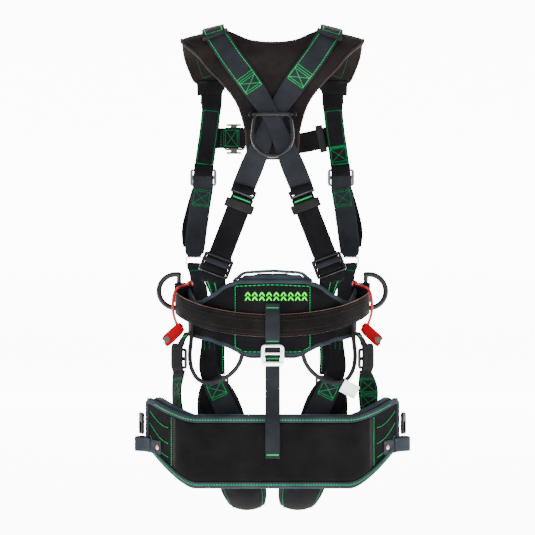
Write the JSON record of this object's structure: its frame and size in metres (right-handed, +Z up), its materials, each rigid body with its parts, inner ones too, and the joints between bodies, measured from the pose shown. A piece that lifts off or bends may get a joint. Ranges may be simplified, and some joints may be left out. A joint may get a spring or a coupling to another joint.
{
  "type": "tree climbing saddle",
  "caption": "Full-body climbing saddle with padded yoke, dorsal ring, waist belt with side rings and gear loops, leg loops and hanging padded seat.",
  "frame": {"origin": "centre of the dorsal ring's eye, with the ring hanging down", "axes": "+X to the wearer's right, +Y towards the wearer's front, +Z up"},
  "size_m": [0.5432, 0.3226, 0.9788],
  "materials": {
    "pad_fabric": "matte",
    "binding": "matte",
    "webbing_slate": "matte",
    "webbing_black": "matte",
    "thread": "satin",
    "elastic": "matte",
    "black_steel": "gloss",
    "black_plastic": "satin",
    "grey_steel": "satin",
    "silver_alloy": "satin",
    "olive_alloy": "satin",
    "leather": "satin",
    "red_webbing": "matte",
    "gear_tube": "matte",
    "label_fabric": "matte",
    "copper": "satin"
  },
  "bodies": {
    "root": {"back_pad": "pad_fabric", "dorsal_plate": "black_plastic", "left_cross_strap": "webbing_slate", "right_cross_strap": "webbing_slate", "shoulder_keepers": "webbing_slate", "front_sleeves": "webbing_black", "front_adjusters": "grey_steel", "front_straps": "webbing_slate", "link_rings": "silver_alloy", "hip_tabs": "webbing_slate", "left_chest_strap": "webbing_black", "right_chest_strap": "webbing_black", "chest_buckle": "olive_alloy", "back_clips": "black_steel", "back_straps": "webbing_black", "roller_buckles": "black_steel", "waist_straps": "webbing_black", "lumbar_cushion": "binding", "waist_shell": "pad_fabric", "lumbar_panel": "webbing_black", "belt": "leather", "belt_loop": "webbing_slate", "front_belt": "webbing_black", "front_buckle": "grey_steel", "ring_holders": "black_plastic", "red_loops": "red_webbing", "red_tabs": "red_webbing", "tab_snaps": "olive_alloy", "left_gear_loop": "gear_tube", "right_gear_loop": "gear_tube", "care_label": "label_fabric", "centre_buckle": "silver_alloy", "centre_strap": "webbing_slate", "left_leg_riser": "webbing_slate", "right_leg_riser": "webbing_slate", "left_leg_front_strap": "webbing_black", "right_leg_front_strap": "webbing_black", "side_straps": "webbing_slate", "side_buckles": "black_steel"},
    "dorsal_ring": {"dorsal_ring": "black_steel"},
    "left_side_ring": {"left_side_ring": "black_steel"},
    "right_side_ring": {"right_side_ring": "black_steel"},
    "chest_tab_upper": {"chest_tab_upper": "olive_alloy"},
    "chest_tab_lower": {"chest_tab_lower": "olive_alloy"},
    "chest_keeper": {"chest_keeper": "elastic"},
    "left_back_keeper": {"left_back_keeper": "elastic"},
    "right_back_keeper": {"right_back_keeper": "elastic"},
    "left_roller": {"left_roller": "silver_alloy"},
    "right_roller": {"right_roller": "silver_alloy"},
    "seat": {"seat_board": "black_plastic", "seat_cushion": "binding", "seat_cover": "pad_fabric", "seat_panel": "leather", "seat_loops": "webbing_slate", "seat_rivets": "copper", "seat_clips": "black_plastic"},
    "left_leg": {"left_leg_pad": "pad_fabric", "left_leg_buckle": "grey_steel"},
    "right_leg": {"right_leg_pad": "pad_fabric", "right_leg_buckle": "grey_steel"}
  },
  "joints": [
    {"name": "dorsal_ring_swing", "type": "hinge", "parent": "root", "child": "dorsal_ring", "pos_m": [0, 0.004, 0.0425], "axis": [-1, 0, 0], "range_deg": [0, 130]},
    {"name": "left_side_ring_swing", "type": "hinge", "parent": "root", "child": "left_side_ring", "pos_m": [-0.188, 0.085, -0.304], "axis": [0, 0, -1], "range_deg": [-15, 60]},
    {"name": "right_side_ring_swing", "type": "hinge", "parent": "root", "child": "right_side_ring", "pos_m": [0.188, 0.085, -0.304], "axis": [0, 0, 1], "range_deg": [-15, 60]},
    {"name": "chest_tab_upper_press", "type": "slide", "parent": "root", "child": "chest_tab_upper", "axis": [0, 0, -1], "range_m": [0, 0.003], "stiffness_N_per_m": 300},
    {"name": "chest_tab_lower_press", "type": "slide", "parent": "root", "child": "chest_tab_lower", "axis": [0, 0, 1], "range_m": [0, 0.003], "stiffness_N_per_m": 300},
    {"name": "chest_keeper_slide", "type": "slide", "parent": "root", "child": "chest_keeper", "axis": [-0.9754, 0.0697, -0.209], "range_m": [-0.003, 0.014]},
    {"name": "left_back_keeper_slide", "type": "slide", "parent": "root", "child": "left_back_keeper", "axis": [-0.3482, -0.1899, -0.918], "range_m": [-0.009, 0.08]},
    {"name": "right_back_keeper_slide", "type": "slide", "parent": "root", "child": "right_back_keeper", "axis": [0.3482, -0.1899, -0.918], "range_m": [-0.009, 0.08]},
    {"name": "left_roller_spin", "type": "hinge", "parent": "root", "child": "left_roller", "pos_m": [-0.1114, -0.02013, -0.25879], "axis": [-0.935, 0, 0.3547], "continuous": true},
    {"name": "right_roller_spin", "type": "hinge", "parent": "root", "child": "right_roller", "pos_m": [0.1114, -0.02013, -0.25879], "axis": [0.935, 0, 0.3547], "continuous": true},
    {"name": "seat_swing", "type": "hinge", "parent": "root", "child": "seat", "pos_m": [0, -0.05399, -0.43], "axis": [1, 0, 0], "range_deg": [-30, 6], "deforming": ["side_straps", "centre_strap"]},
    {"name": "left_leg_swing", "type": "hinge", "parent": "root", "child": "left_leg", "pos_m": [-0.12, 0.10852, -0.385], "axis": [1, 0, 0], "range_deg": [0, 40], "deforming": ["left_leg_riser", "left_leg_front_strap"]},
    {"name": "right_leg_swing", "type": "hinge", "parent": "root", "child": "right_leg", "pos_m": [0.12, 0.10852, -0.385], "axis": [1, 0, 0], "range_deg": [0, 40], "deforming": ["right_leg_riser", "right_leg_front_strap"]}
  ]
}
